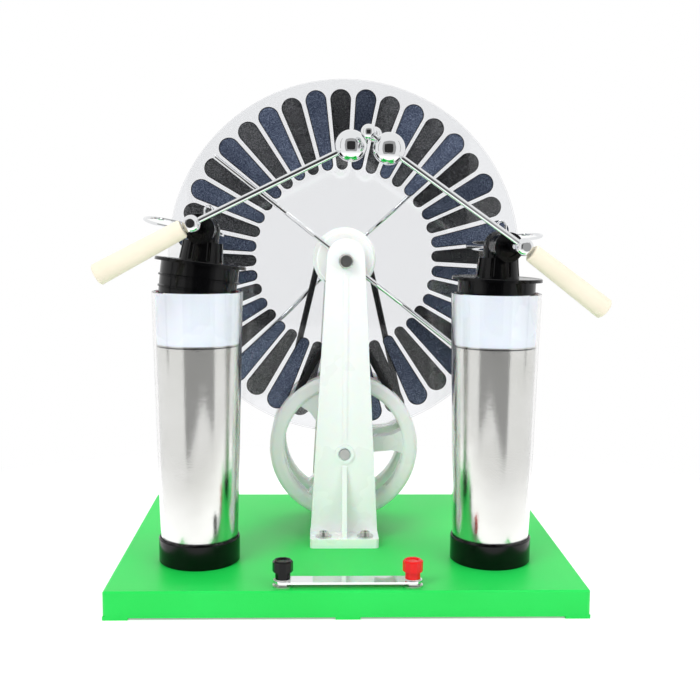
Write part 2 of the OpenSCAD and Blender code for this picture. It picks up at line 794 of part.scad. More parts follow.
// Moulded knob: round neck and ten-sided head, with a blind bore for the stud
module knob(side) {
    neck_h = knob_h * 0.4;
    translate([post_at[side][0], post_at[side][1], knob_z]) difference() {
        union() {
            cylinder(r = knob_d / 2 - 1.8, h = neck_h + 0.5);
            translate([0, 0, neck_h]) cylinder(r = knob_d / 2, h = knob_h - neck_h - 1, $fn = 10);
            translate([0, 0, knob_h - 1])
                cylinder(r1 = knob_d / 2, r2 = knob_d / 2 - 1, h = 1, $fn = 10);
        }
        translate([0, 0, -1]) cylinder(r = post_d / 2 + run, h = knob_h - 2.3);
        translate([0, 0, knob_h - 0.8]) cylinder(r1 = knob_d / 2 - 3, r2 = knob_d / 2 - 2.2, h = 1);
    }
}

module black_knob() {
    color([0.07, 0.07, 0.08]) knob(0);
}

module red_knob() {
    color([0.90, 0.10, 0.08]) knob(1);
}

// ================================ jars ================================
ring_floor = 3;
jar_z0 = base_top + ring_floor;
jar_floor = 3;
head_h = 2.6;
rim_z = base_top + jar_h;
foil_z0 = jar_z0 + jar_floor + head_h + 0.4;
foil_t = 0.25;
foil_top = base_top + foil_h;

// Outer radius of the jar at height z
function jar_r(z) = jar_r1 + (jar_r2 - jar_r1) * (z - base_top) / jar_h;

// Thin cup whose outer wall lies in from the jar's outside, from z0 to z1
module jar_cup(in, t, floor_t, z0, z1) {
    rotate_extrude() polygon([[0, z0], [jar_r(z0) - in, z0], [jar_r(z1) - in, z1],
        [jar_r(z1) - in - t, z1], [jar_r(z0 + floor_t) - in - t, z0 + floor_t],
        [0, z0 + floor_t]]);
}

module at_jar(side) {
    translate([jar_at[side][0], jar_at[side][1], 0]) children();
}

module jar_ring(side) {
    at_jar(side) rotate_extrude() polygon([[jar_screw_r + pass, base_top],
        [ring_r - 0.6, base_top], [ring_r, base_top + 0.8], [ring_r, base_top + ring_h - 1],
        [ring_r - 0.5, base_top + ring_h], [jar_r(base_top + ring_h) + pass, base_top + ring_h],
        [jar_r(base_top + ring_h) + pass, jar_z0], [jar_screw_r + pass, jar_z0]]);
}

module jar_shell(side) {
    in = jar_wall;
    z1 = jar_z0 + jar_floor;
    at_jar(side) rotate_extrude() polygon([[jar_screw_r + pass, jar_z0],
        [jar_r(jar_z0) - 1, jar_z0], [jar_r(jar_z0 + 1), jar_z0 + 1],
        [jar_r(rim_z - 0.4), rim_z - 0.4], [jar_r(rim_z) - 0.5, rim_z],
        [jar_r(rim_z) - in + 0.4, rim_z], [jar_r(rim_z - 0.4) - in, rim_z - 0.4],
        [jar_r(z1) - in, z1], [jar_screw_r + pass, z1]]);
}

module jar_foil(side) {
    at_jar(side) jar_cup(jar_wall + 0.15, foil_t, foil_t, foil_z0, foil_top);
}

module milky_cup(side) {
    at_jar(side) jar_cup(jar_wall + 0.5, cup_wall, 1, foil_z0 + foil_t + 0.05, rim_z - 0.3);
}

module jar_lining(side) {
    at_jar(side) jar_cup(jar_wall + 0.5 + cup_wall + 0.05, foil_t, foil_t,
        foil_z0 + foil_t + 1.1, foil_top - 2);
}

module left_jar_ring() { color([0.06, 0.06, 0.07]) jar_ring(0); }
module right_jar_ring() { color([0.06, 0.06, 0.07]) jar_ring(1); }
module left_jar_shell() { color([0.92, 0.94, 0.97, 0.3]) jar_shell(0); }
module right_jar_shell() { color([0.92, 0.94, 0.97, 0.3]) jar_shell(1); }
module left_jar_foil() { color([0.80, 0.82, 0.82]) jar_foil(0); }
module right_jar_foil() { color([0.80, 0.82, 0.82]) jar_foil(1); }
module left_jar_cup() { color([0.90, 0.90, 0.96]) milky_cup(0); }
module right_jar_cup() { color([0.90, 0.90, 0.96]) milky_cup(1); }
module left_jar_lining() { color([0.80, 0.82, 0.82]) jar_lining(0); }
module right_jar_lining() { color([0.80, 0.82, 0.82]) jar_lining(1); }

module jar_screws() {
    tip = stud_boss_z - strip_t - nut_h - 0.6;
    color([0.78, 0.78, 0.80]) for (side = [0, 1]) at_jar(side) {
        translate([0, 0, jar_z0 + jar_floor])
            pan_screw(jar_screw_r, 4, head_h, jar_z0 + jar_floor - tip);
        translate([0, 0, stud_boss_z - strip_t - nut_h]) hex_nut(nut_af, jar_screw_r, nut_h);
    }
}

// ================================ stoppers ================================
flange_r = 32.4;
flange_t = 2.4;
bore_r = jar_r2 - jar_wall - 0.5 - cup_wall;
skirt_l = 24;
skirt_r = bore_r - 1.6;
lip_r = bore_r - 0.6;
low_lip_r = bore_r - 1.1;
skirt_wall = 2.2;
tower_h = 14;
tower_r1 = 15.8;
tower_r2 = 14.2;
elbow_h = 8.1;
elbow_r = 11;
leg_r = 9.5;
leg_l = 24;
mouth_r = 7;
spigot_l = 5;
contact_r = 2;
elbow_z = flange_t + tower_h + elbow_h;

// Places a child on the leaning stopper; z = 0 is the underside of its flange
module at_stopper(side) {
    at_jar(side) translate([0, 0, rim_z]) rotate([-lean_back[side], lean[side], 0])
        translate([0, 0, lift[side]]) children();
}

// Where the leaning axis is, at height h above the rim
function lean_point(side, h) = [sx(side) * jar_x, -jar_y, rim_z] + h * [
    cos(lean_back[side]) * sin(lean[side]), sin(lean_back[side]),
    cos(lean_back[side]) * cos(lean[side])];

// Places a child on the electrode bar: its -Y points along the bar to the front
module at_bar(side) {
    translate(lean_point(side, lift[side] + elbow_z))
        rotate([-bar_rise[side], 0, sx(side) * bar_yaw[side]]) children();
}

module fluted_tower() {
    n = 8;
    difference() {
        translate([0, 0, flange_t - 0.5]) cylinder(r1 = tower_r1, r2 = tower_r2, h = tower_h + 0.5);
        for (i = [0 : n - 1]) rotate([0, 0, (i + 0.5) * 360 / n])
            translate([tower_r1 + 0.2, 0, flange_t + 1])
                rotate([0, -atan((tower_r1 - tower_r2) / tower_h), 0])
                cylinder(r = 1.9, h = tower_h + 4, $fn = 24);
    }
}

module stopper(side) {
    at_stopper(side) difference() {
        union() {
            rotate_extrude() polygon([[0, 0], [skirt_r - skirt_wall, 0],
                [skirt_r - skirt_wall - 0.6, -skirt_l], [skirt_r - 0.6, -skirt_l],
                [skirt_r - 0.4, -18.6], [low_lip_r, -18.2], [low_lip_r, -17.2], [skirt_r - 0.3, -16.6],
                [skirt_r - 0.2, -10.6], [lip_r, -10.2], [lip_r, -9.2], [skirt_r, -8.6],
                [skirt_r, 0], [flange_r, 0], [flange_r, flange_t - 0.5],
                [flange_r - 0.5, flange_t], [flange_r - 3, flange_t - 0.4], [0, flange_t - 0.4]]);
            fluted_tower();
            // stiffening webs inside the skirt, and the tube that guides the contact rod
            for (i = [0 : 3]) rotate([0, 0, 22.5 + i * 45])
                translate([-skirt_r + 1.5, -0.8, -skirt_l + 4]) cube([2 * skirt_r - 3, 1.6, skirt_l - 3.5]);
            rod(5, -skirt_l, 1);
        }
        rod(contact_r + run, -skirt_l - 1, flange_t + tower_h + 1);
        rod(mouth_r, flange_t + tower_h - spigot_l, flange_t + tower_h + 1);
        // cradle for the elbow's leg
        translate([0, 0, elbow_z]) rotate([90, 0, sx(side) * bar_yaw[side]])
            rod(leg_r + pass, 0, leg_l);
    }
}

module left_stopper() { color([0.06, 0.06, 0.07]) stopper(0); }
module right_stopper() { color([0.06, 0.06, 0.07]) stopper(1); }

// Pipe elbow that turns the bar to the front, with a collar round its open mouth
module elbow(side) {
    difference() {
        at_stopper(side) translate([0, 0, flange_t + tower_h]) {
            rod(mouth_r - run, -spigot_l, 1);
            rod(elbow_r, 0, elbow_h);
            translate([0, 0, elbow_h]) {
                sphere(r = elbow_r);
                rotate([90, 0, sx(side) * bar_yaw[side]]) {
                    rod(leg_r, 0, leg_l);
                    rod(leg_r + 0.9, leg_l - 4, leg_l);
                }
            }
        }
        at_stopper(side) translate([0, 0, elbow_z])
            rotate([90, 0, sx(side) * bar_yaw[side]]) rod(mouth_r, leg_l - 2.5, leg_l + 1);
        at_stopper(side) rod(contact_r + run, -1, elbow_z);
        at_bar(side) rotate([-90, 0, 0]) rod(bar_d / 2 + run, -leg_l - 2, 20);
    }
}

module left_elbow() { color([0.05, 0.05, 0.06]) elbow(0); }
module right_elbow() { color([0.05, 0.05, 0.06]) elbow(1); }

// Rod from the electrode bar down to the jar's lining, with a sprung foot
module contact_rod(side) {
    tip = -rim_z + 62;
    color([0.80, 0.62, 0.28]) difference() {
        at_stopper(side) union() {
            rod(contact_r, tip, elbow_z);
            translate([0, 0, tip]) sphere(r = 4);
            for (a = [0, 90]) rotate([0, 0, a + 45]) translate([-8, 0, tip])
                rotate([0, 90, 0]) rod(0.9, 0, 16);
        }
        at_bar(side) rotate([-90, 0, 0]) rod(bar_d / 2, -30, 30);
    }
}

module left_contact_rod() { contact_rod(0); }
module right_contact_rod() { contact_rod(1); }

// ================================ electrodes ================================
pin_in = pivot_d / 2 - rod_d / 2 - 0.6;
wire_in = 5;
journal_r = 2.5;
seat = pivot_d / 2 + gap;

module bar(side) {
    color([0.82, 0.82, 0.85]) at_bar(side) rotate([90, 0, 0]) difference() {
        union() {
            rod(bar_d / 2, -bar_back, bar_front - seat);
            rod(journal_r, 0, bar_front - pivot_d / 2 + pin_in);
        }
        rod(wire_d / 2 + run, -bar_back - 1, -bar_back + wire_in + 1);
    }
}

module left_bar() { bar(0); }
module right_bar() { bar(1); }

// Places a child on the discharge rod: origin in the pivot ball, +Z along the rod to its ball
module on_rod(side) {
    at_bar(side) translate([0, -bar_front, 0])
        rotate([0, -sx(side) * (90 - rod_a[side]), 0]) children();
}

// The same on the handle's side, +Z towards the far end of the handle
module on_handle(side) {
    at_bar(side) translate([0, -bar_front, 0])
        rotate([0, sx(side) * (90 + rod_a[side] + handle_bend[side]), 0]) children();
}

rod_in_ball = 6;
flat_r = 3;
flat_at = sqrt(pivot_d * pivot_d / 4 - flat_r * flat_r);
handle_0 = pivot_d / 2 + 0.3;
rod_in_handle = 40;
bead_r = rod_d / 2 + 0.15;

// Length of a discharge rod from its pivot to the centre of its large ball
function rod_cx(side) = cos(rod_a[side]) * cos(bar_yaw[side])
    + sin(rod_a[side]) * sin(bar_rise[side]) * sin(bar_yaw[side]);
function rod_span(side) = (abs(bar_end(side, -bar_front)[0]) - sx(side) * meet_x - ball_apart / 2)
    / rod_cx(side);
rod_l = [rod_span(0), rod_span(1)];

// Rod through the pivot ball, bent by a few degrees at the bead in the ball's centre
module discharge_rod(side) {
    color([0.82, 0.82, 0.85]) {
        on_rod(side) rod(rod_d / 2, 0, rod_l[side] - ball_d / 2 + rod_in_ball);
        on_handle(side) rod(rod_d / 2, 0, handle_0 + rod_in_handle);
        on_rod(side) sphere(r = bead_r);
    }
}

module left_rod() { discharge_rod(0); }
module right_rod() { discharge_rod(1); }

module pivot_ball(side) {
    color([0.85, 0.85, 0.88]) difference() {
        at_bar(side) translate([0, -bar_front, 0]) sphere(r = pivot_d / 2);
        // polished flat on the ball's front
        at_bar(side) translate([-pivot_d, -bar_front - pivot_d * 1.5 - flat_at, -pivot_d])
            cube([2 * pivot_d, pivot_d * 1.5, 2 * pivot_d]);
        on_rod(side) rod(rod_d / 2, 0, pivot_d);
        on_handle(side) rod(rod_d / 2, 0, pivot_d);
        on_rod(side) sphere(r = bead_r);
        at_bar(side) rotate([90, 0, 0])
            rod(journal_r + run, bar_front - pivot_d, bar_front - pivot_d / 2 + pin_in + 0.3);
    }
}

module left_pivot_ball() { pivot_ball(0); }
module right_pivot_ball() { pivot_ball(1); }

// Where the small ball stands off the large one, along the bar's own axes
small_off = [[15.1, 6.9, 8.7], [-13.3, 0.6, 10.4]];
stem_r = 1.5;

module balls(side) {
    v = small_off[side];
    color([0.86, 0.86, 0.89]) {
        difference() {
            on_rod(side) translate([0, 0, rod_l[side]]) sphere(r = ball_d / 2);
            on_rod(side) rod(rod_d / 2, 0, rod_l[side] - ball_d / 2 + rod_in_ball);
        }
        at_bar(side) translate([0, -bar_front, 0]
            + rod_l[side] * [-sx(side) * cos(rod_a[side]), 0, sin(rod_a[side])]) {
            translate(v) sphere(r = small_d / 2);
            difference() {
                stick([0, 0, 0], v, stem_r);
                sphere(r = ball_d / 2 - 1);
                translate(v) sphere(r = small_d / 2 - 1);
            }
        }
    }
}

module left_balls() { balls(0); }
module right_balls() { balls(1); }

module handle(side) {
    r1 = handle_d / 2 - 1.2;
    r2 = handle_d / 2;
    l = handle_l;
    color([0.95, 0.92, 0.80]) on_handle(side) translate([0, 0, handle_0])
        rotate_extrude() polygon([[0, rod_in_handle], [rod_d / 2, rod_in_handle], [rod_d / 2, 0],
            [r1 - 0.8, 0], [r1, 0.8], [r2, l - 1], [r2 - 1, l], [0, l]]);
}

module left_handle() { handle(0); }
module right_handle() { handle(1); }

// ================================ collector forks ================================
function bar_end(side, s) = lean_point(side, lift[side] + elbow_z)
    + s * [-sx(side) * sin(bar_yaw[side]) * cos(bar_rise[side]),
        cos(bar_yaw[side]) * cos(bar_rise[side]), -sin(bar_rise[side])];

fork_bow = fork_u;
fork_in = 106;
point_l = 7;
curl_r = 3;

// Height of a fork's leg at distance x from the machine's middle; t is -1 in front and 1 behind
function fork_z(side, x, t) = let (e = bar_end(side, bar_back))
    e[2] + (x - abs(e[0])) * tan(fork_rise[side]) + (t + 1) * fork_u * tan(fork_roll[side]);

function fork_at(side, x, t) = [sx(side) * x, disc_y + t * fork_u, fork_z(side, x, t)];

function fork_path(side) = let (e = bar_end(side, bar_back), f = bar_end(side, bar_back + 4),
        x0 = abs(e[0]) + 7) concat(
    [bar_end(side, bar_back - wire_in)], bezier(e, f, fork_at(side, x0, -1), 5),
    [for (x = [x0 + 12, fork_x - 12]) fork_at(side, x, -1)],
    [for (i = [0 : 12]) let (a = 180 * i / 12)
        fork_at(side, fork_x + fork_bow * sin(a), -cos(a))],
    [for (x = [fork_x - 12, fork_in + 12, fork_in]) fork_at(side, x, 1)]);

// The wire's tail, which stands up beside the bar's end and curls over
curl_up = [21, 16];
curl_out = [8, 24];

function tail_path(side) = let (e = bar_end(side, bar_back), s = sx(side),
        f = fork_at(side, abs(e[0]) + curl_out[side] + curl_r, -1),
        c = e + [s * curl_out[side], 0, curl_up[side]]) concat(
    bezier(f, f + [s * 2, -1, curl_up[side] * 0.5], c + [s * curl_r, 0, -curl_r], 6),
    [for (a = [0 : 30 : 240]) c + [s * curl_r * cos(a), a / 100, curl_r * sin(a)]]);

module fork(side) {
    r = wire_d / 2;
    color([0.80, 0.80, 0.83]) {
        swept(fork_path(side), r, [0, 0, 1], 10, false);
        swept(tail_path(side), r * 0.8, [0, 1, 0], 8, false);
        for (x = [fork_in + 8, fork_in + 18, fork_in + 28], t = [-1, 1])
            translate(fork_at(side, x, t)) rotate([t * 90, 0, 0])
                translate([0, 0, r * 0.5]) cylinder(r = 0.6, h = point_l, $fn = 16);
    }
}

module left_fork() { fork(0); }
module right_fork() { fork(1); }

base();
front_upright();
rear_upright();
upright_screws();
axle();
axle_nuts();
disc_spacer();
front_disc();
rear_disc();
front_sectors();
rear_sectors();
front_hub_pulley();
rear_hub_pulley();
drive_shaft();
front_drive_wheel();
rear_drive_wheel();
front_belt();
rear_belt();
crank_arm();
crank_pin();
crank_grip();
front_neutraliser();
rear_neutraliser();
terminal_posts();
black_washer();
red_washer();
black_knob();
red_knob();
shorting_link();
lead_strips();
jar_screws();
left_jar_ring();
right_jar_ring();
left_jar_shell();
right_jar_shell();
left_jar_foil();
right_jar_foil();
left_jar_cup();
right_jar_cup();
left_jar_lining();
right_jar_lining();
left_stopper();
right_stopper();
left_elbow();
right_elbow();
left_contact_rod();
right_contact_rod();
left_bar();
right_bar();
left_fork();
right_fork();
left_pivot_ball();
right_pivot_ball();
left_rod();
right_rod();
left_balls();
right_balls();
left_handle();
right_handle();
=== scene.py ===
"""Looks of a hand-cranked influence machine: two clear discs with foil sectors, two foil-coated jars
with black stoppers, chrome discharge rods with balls, on a green moulded base.

Lengths in the shape code are millimetres in the machine's frame: +X to the right, +Y to the rear,
+Z up, origin under the middle of the base. They become metres when a mesh is made.
"""
import math

import bpy
import numpy as np
from mathutils import Matrix


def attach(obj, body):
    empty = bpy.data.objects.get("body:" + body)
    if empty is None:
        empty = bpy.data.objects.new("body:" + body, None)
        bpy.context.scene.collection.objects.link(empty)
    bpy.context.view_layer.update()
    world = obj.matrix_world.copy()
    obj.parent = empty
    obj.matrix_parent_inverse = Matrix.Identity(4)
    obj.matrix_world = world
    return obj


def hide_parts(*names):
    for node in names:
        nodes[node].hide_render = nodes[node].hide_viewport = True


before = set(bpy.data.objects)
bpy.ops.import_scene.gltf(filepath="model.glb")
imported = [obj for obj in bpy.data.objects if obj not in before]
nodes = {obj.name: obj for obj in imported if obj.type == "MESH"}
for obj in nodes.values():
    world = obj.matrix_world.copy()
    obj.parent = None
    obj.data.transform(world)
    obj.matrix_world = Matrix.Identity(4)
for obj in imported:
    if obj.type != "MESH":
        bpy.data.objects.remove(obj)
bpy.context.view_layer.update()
MM = 0.001
TAU = 2 * math.pi

# Sizes of the machine that finishes and pieces share (mm, degrees)
DISC_Y = 37          # middle of the space between the discs
AXLE_Z = 237.2       # height of the disc axle
FACE_U = 51.4        # from the disc plane to the outer face of an upright
SECTORS = 20         # foil sectors on each disc
FRONT_TURN = 10.7    # angle of the first sector of the front set
REAR_TURN = FRONT_TURN + 180 / SECTORS


# ------------------------------------------------------------------ camera, light and floor
def place_camera():
    """Camera of the photograph: a level turn (yaw), a tilt down (pitch) and a small roll about the
    line of sight, from the point where the machine's corners line up."""
    yaw, pitch, roll = math.radians(1.98), math.radians(7.13), math.radians(0.505)
    ahead = np.array([math.sin(yaw) * math.cos(pitch), math.cos(yaw) * math.cos(pitch), -math.sin(pitch)])
    right = np.array([math.cos(yaw), -math.sin(yaw), 0])
    up = np.cross(right, ahead)
    right, up = (right * math.cos(roll) + up * math.sin(roll),
                 up * math.cos(roll) - right * math.sin(roll))
    data = bpy.data.cameras.new("camera")
    data.lens, data.sensor_width, data.sensor_fit = 53.41, 36, "HORIZONTAL"
    camera = bpy.data.objects.new("camera", data)
    bpy.context.scene.collection.objects.link(camera)
    turn = Matrix([list(right), list(up), list(-ahead)]).transposed().to_4x4()
    turn.translation = [v * MM for v in (-23.58, -798.05, 267.85)]
    camera.matrix_world = turn
    bpy.context.scene.camera = camera


def add_lamp(name, size, energy, place, aim):
    """Square soft lamp at place, turned to face the point aim (metres). Mirrors don't show it."""
    data = bpy.data.lights.new(name, "AREA")
    data.shape, data.size, data.energy = "SQUARE", size, energy
    lamp = bpy.data.objects.new(name, data)
    lamp.visible_glossy = False
    bpy.context.scene.collection.objects.link(lamp)
    z = np.array(place, float) - np.array(aim, float)
    z /= np.linalg.norm(z)
    x = np.cross([0, 0, 1], z)
    x /= np.linalg.norm(x)
    lamp.matrix_world = Matrix.Translation(place) @ Matrix(
        [list(x), list(np.cross(z, x)), list(z)]).transposed().to_4x4()


def build_world():
    """White room for the camera, for mirrors and through clear plastic; softer as a light on the object."""
    world = bpy.data.worlds.new("studio")
    bpy.context.scene.world = world
    world.use_nodes = True
    tree = world.node_tree
    tree.nodes.clear()
    path = put(tree, "ShaderNodeLightPath")
    room = put(tree, "ShaderNodeBackground", Color=(1, 1, 1, 1), Strength=0.55)
    seen = put(tree, "ShaderNodeBackground", Color=(1, 1, 1, 1), Strength=1.0)
    direct = put(tree, "ShaderNodeMath", {"operation": "MAXIMUM"}, i0=path.outputs["Is Camera Ray"],
                 i1=path.outputs["Is Transmission Ray"])
    any_view = put(tree, "ShaderNodeMath", {"operation": "MAXIMUM"}, i0=direct.outputs[0],
                   i1=path.outputs["Is Glossy Ray"])
    mix = put(tree, "ShaderNodeMixShader", i0=any_view.outputs[0], i1=room.outputs[0],
              i2=seen.outputs[0])
    put(tree, "ShaderNodeOutputWorld", Surface=mix.outputs[0])


def add_panel(name, corners, grey):
    """Flat studio panel through four corners (mm), which only mirror-like surfaces see, also through
    a clear wall: a ray that hasn't met such a surface passes through it."""
    mesh = bpy.data.meshes.new(name)
    mesh.from_pydata([tuple(v * MM for v in c) for c in corners], [], [(0, 1, 2, 3)])
    panel = bpy.data.objects.new(name, mesh)
    bpy.context.scene.collection.objects.link(panel)
    material = bpy.data.materials.new(name)
    material.use_nodes = True
    tree = material.node_tree
    tree.nodes.clear()
    glow = put(tree, "ShaderNodeEmission", Color=(grey, grey, grey, 1), Strength=1.0)
    path = put(tree, "ShaderNodeLightPath")
    mirrored = put(tree, "ShaderNodeMath", {"operation": "GREATER_THAN"}, i0=path.outputs["Glossy Depth"],
                   i1=0.5)
    clear = put(tree, "ShaderNodeBsdfTransparent")
    mix = put(tree, "ShaderNodeMixShader", i0=mirrored.outputs[0], i1=clear.outputs[0],
              i2=glow.outputs[0])
    put(tree, "ShaderNodeOutputMaterial", Surface=mix.outputs[0])
    mesh.materials.append(material)
    panel.visible_camera = panel.visible_diffuse = False
    panel.visible_shadow = panel.visible_volume_scatter = False


def build_tent():
    """Front of the light tent: a grey wall with a dark square opening, which the camera looks through.
    The wall's lower edge rises to the middle, where the white sheet of the floor runs up on it."""
    y = -406
    x0, x1, z0, z1 = -178, 163, 138, 478    # edges of the opening
    wall, top = 320, 670                    # half width and height of the wall
    sheet, middle, under = 62, 40, -20      # sheet's height in its middle, half width there, lower edge
    grey, dark, seam = 0.40, 0.035, 0.10
    for name, corners, tone in (
            ("tent_opening", ((x0, z0), (x1, z0), (x1, z1), (x0, z1)), dark),
            ("tent_left", ((-wall, z0), (x0, z0), (x0, top), (-wall, top)), grey),
            ("tent_right", ((x1, z0), (wall, z0), (wall, top), (x1, top)), grey),
            ("tent_over", ((x0, z1), (x1, z1), (x1, top), (x0, top)), grey),
            ("tent_low_left", ((-wall, under), (-middle, sheet), (-middle, z0), (-wall, z0)), grey),
            ("tent_low_right", ((middle, sheet), (wall, under), (wall, z0), (middle, z0)), grey),
            ("tent_low_middle", ((-middle, sheet), (middle, sheet), (middle, z0), (-middle, z0)), grey)):
        add_panel(name, [(x, y, z) for x, z in corners], tone)
    side, y0, y1, height = 1100, -260, -190, 1200
    for name, x in (("tent_seam_left", -side), ("tent_seam_right", side)):
        add_panel(name, [(x, y0, 0), (x, y1, 0), (x, y1, height), (x, y0, height)], seam)


def build_floor():
    """Flat pale floor, one square that reaches far past the view. Near the machine it is lit and keeps
    the shadow; with the distance from the machine it turns to plain white."""
    half = 6.0
    mesh = bpy.data.meshes.new("floor")
    mesh.from_pydata([(-half, -half, 0), (half, -half, 0), (half, half, 0), (-half, half, 0)], [],
                     [(0, 1, 2, 3)])
    floor = bpy.data.objects.new("floor", mesh)
    bpy.context.scene.collection.objects.link(floor)
    material = bpy.data.materials.new("floor_white")
    material.use_nodes = True
    tree = material.node_tree
    shader = tree.nodes["Principled BSDF"]
    shader.inputs["Base Color"].default_value = (0.93, 0.93, 0.93, 1)
    shader.inputs["Roughness"].default_value = 0.9
    shader.inputs["Specular IOR Level"].default_value = 0.0
    path = put(tree, "ShaderNodeLightPath")
    direct = put(tree, "ShaderNodeMath", {"operation": "MAXIMUM"}, i0=path.outputs["Is Camera Ray"],
                 i1=path.outputs["Is Transmission Ray"])
    seen = put(tree, "ShaderNodeMath", {"operation": "MAXIMUM"}, i0=direct.outputs[0],
               i1=path.outputs["Is Glossy Ray"])
    lift = put(tree, "ShaderNodeMath", {"operation": "MULTIPLY"}, i0=seen.outputs[0], i1=0.30)
    glow = put(tree, "ShaderNodeEmission", Color=(1, 1, 1, 1), Strength=lift.outputs[0])
    near = put(tree, "ShaderNodeAddShader", i0=shader.outputs[0], i1=glow.outputs[0])
    white = put(tree, "ShaderNodeEmission", Color=(1, 1, 1, 1), Strength=1.0)
    coords = put(tree, "ShaderNodeTexCoord")
    squash = put(tree, "ShaderNodeVectorMath", {"operation": "MULTIPLY"}, i0=coords.outputs["Object"],
                 i1=(1.0, 1.25, 0.0))
    away = put(tree, "ShaderNodeVectorMath", {"operation": "LENGTH"}, i0=squash.outputs[0])
    far = put(tree, "ShaderNodeMapRange", {"interpolation_type": "SMOOTHSTEP"},
              Value=away.outputs["Value"])
    far.inputs["From Min"].default_value = 0.20
    far.inputs["From Max"].default_value = 0.52
    share = put(tree, "ShaderNodeMath", {"operation": "MULTIPLY"}, i0=far.outputs[0], i1=seen.outputs[0])
    both = put(tree, "ShaderNodeMixShader", i0=share.outputs[0], i1=near.outputs[0], i2=white.outputs[0])
    tree.links.new(both.outputs[0], tree.nodes["Material Output"].inputs["Surface"])
    mesh.materials.append(material)


# ------------------------------------------------------------------ shared surface effects
def new_group(name, inputs, outputs):
    """Empty shader node group with named float, colour and vector sockets."""
    group = bpy.data.node_groups.new(name, "ShaderNodeTree")
    kinds = {"float": "NodeSocketFloat", "colour": "NodeSocketColor", "vector": "NodeSocketVector"}
    for socket, kind, value in inputs:
        item = group.interface.new_socket(socket, in_out="INPUT", socket_type=kinds[kind])
        if value is not None:
            item.default_value = value
    for socket, kind in outputs:
        group.interface.new_socket(socket, in_out="OUTPUT", socket_type=kinds[kind])
    return group, group.nodes.new("NodeGroupInput"), group.nodes.new("NodeGroupOutput")


def put(tree, kind, settings=None, **feeds):
    """Adds a node, sets its properties, and feeds its sockets by name with a value or an output."""
    node = tree.nodes.new(kind)
    for key, value in (settings or {}).items():
        setattr(node, key, value)
    for key, value in feeds.items():
        socket = node.inputs[int(key[1:])] if key[0] == "i" and key[1:].isdigit() else node.inputs[key]
        if isinstance(value, bpy.types.NodeSocket):
            tree.links.new(value, socket)
        else:
            socket.default_value = value
    return node


def feed(node, **values):
    """Sets the node's inputs whose names have spaces; an underscore stands for the space."""
    for key, value in values.items():
        node.inputs[key.replace("_", " ")].default_value = value
    return node


def make_rim_group():
    """Sector rim: how near a point is to the outline of its foil sector. The point's angle round the
    axle is folded into one pitch, so that it lies beside one sector's middle line; the half width
    grows evenly from the inner round end to the outer one, and the end circles close it. Out comes 1
    on the outline and 0 further inside than Width (metres), and a Tone that is chance but the same
    all over one sector."""
    group, inside, outside = new_group(
        "sector_rim",
        [("Vector", "vector", None), ("Turn", "float", 0.0), ("Width", "float", 0.0006)],
        [("Rim", "float"), ("Tone", "float")])

    def sums(operation, *values):
        node = put(group, "ShaderNodeMath", {"operation": operation})
        for socket, value in zip(node.inputs, values):
            if isinstance(value, bpy.types.NodeSocket):
                group.links.new(value, socket)
            else:
                socket.default_value = value
        return node.outputs[0]

    pitch, hub_z = TAU / SECTORS, AXLE_Z * MM
    r1, r2 = 0.0045, 0.0082    # radii of the inner and the outer end of a sector
    c1, c2 = 0.0749, 0.125     # distances of those ends' centres from the axle
    split = put(group, "ShaderNodeSeparateXYZ", Vector=inside.outputs["Vector"])
    x, z = split.outputs["X"], sums("SUBTRACT", split.outputs["Z"], hub_z)
    reach = sums("SQRT", sums("MULTIPLY_ADD", x, x, sums("MULTIPLY", z, z)))
    angle = sums("SUBTRACT", sums("ARCTAN2", z, x), inside.outputs["Turn"])
    folded = sums("WRAP", angle, pitch / 2, -pitch / 2)
    along = sums("MULTIPLY", reach, sums("COSINE", folded))
    aside = sums("ABSOLUTE", sums("MULTIPLY", reach, sums("SINE", folded)))
    half = sums("MULTIPLY_ADD", sums("SUBTRACT", along, c1), (r2 - r1) / (c2 - c1), r1)
    beside = sums("SUBTRACT", half, aside)

    def to_end(centre, radius):
        off = sums("SUBTRACT", along, centre)
        return sums("SUBTRACT", radius, sums("SQRT", sums("MULTIPLY_ADD", off, off,
                                                          sums("MULTIPLY", aside, aside))))

    inner, outer = to_end(c1, r1), to_end(c2, r2)
    past_inner, past_outer = sums("LESS_THAN", along, c1), sums("GREATER_THAN", along, c2)
    first = put(group, "ShaderNodeMix", {"data_type": "FLOAT"}, i0=past_inner, i2=beside, i3=inner)
    last = put(group, "ShaderNodeMix", {"data_type": "FLOAT"}, i0=past_outer, i2=first.outputs[0],
               i3=outer)
    near = sums("DIVIDE", last.outputs[0], inside.outputs["Width"])
    rim = put(group, "ShaderNodeMapRange", {"interpolation_type": "SMOOTHSTEP"}, Value=near)
    feed(rim, From_Min=0.5, From_Max=1.0, To_Min=1.0, To_Max=0.0)
    group.links.new(rim.outputs[0], outside.inputs["Rim"])
    number = sums("ROUND", sums("DIVIDE", angle, pitch))
    tone = put(group, "ShaderNodeTexWhiteNoise", {"noise_dimensions": "1D"}, W=number)
    group.links.new(tone.outputs["Value"], outside.inputs["Tone"])
    return group


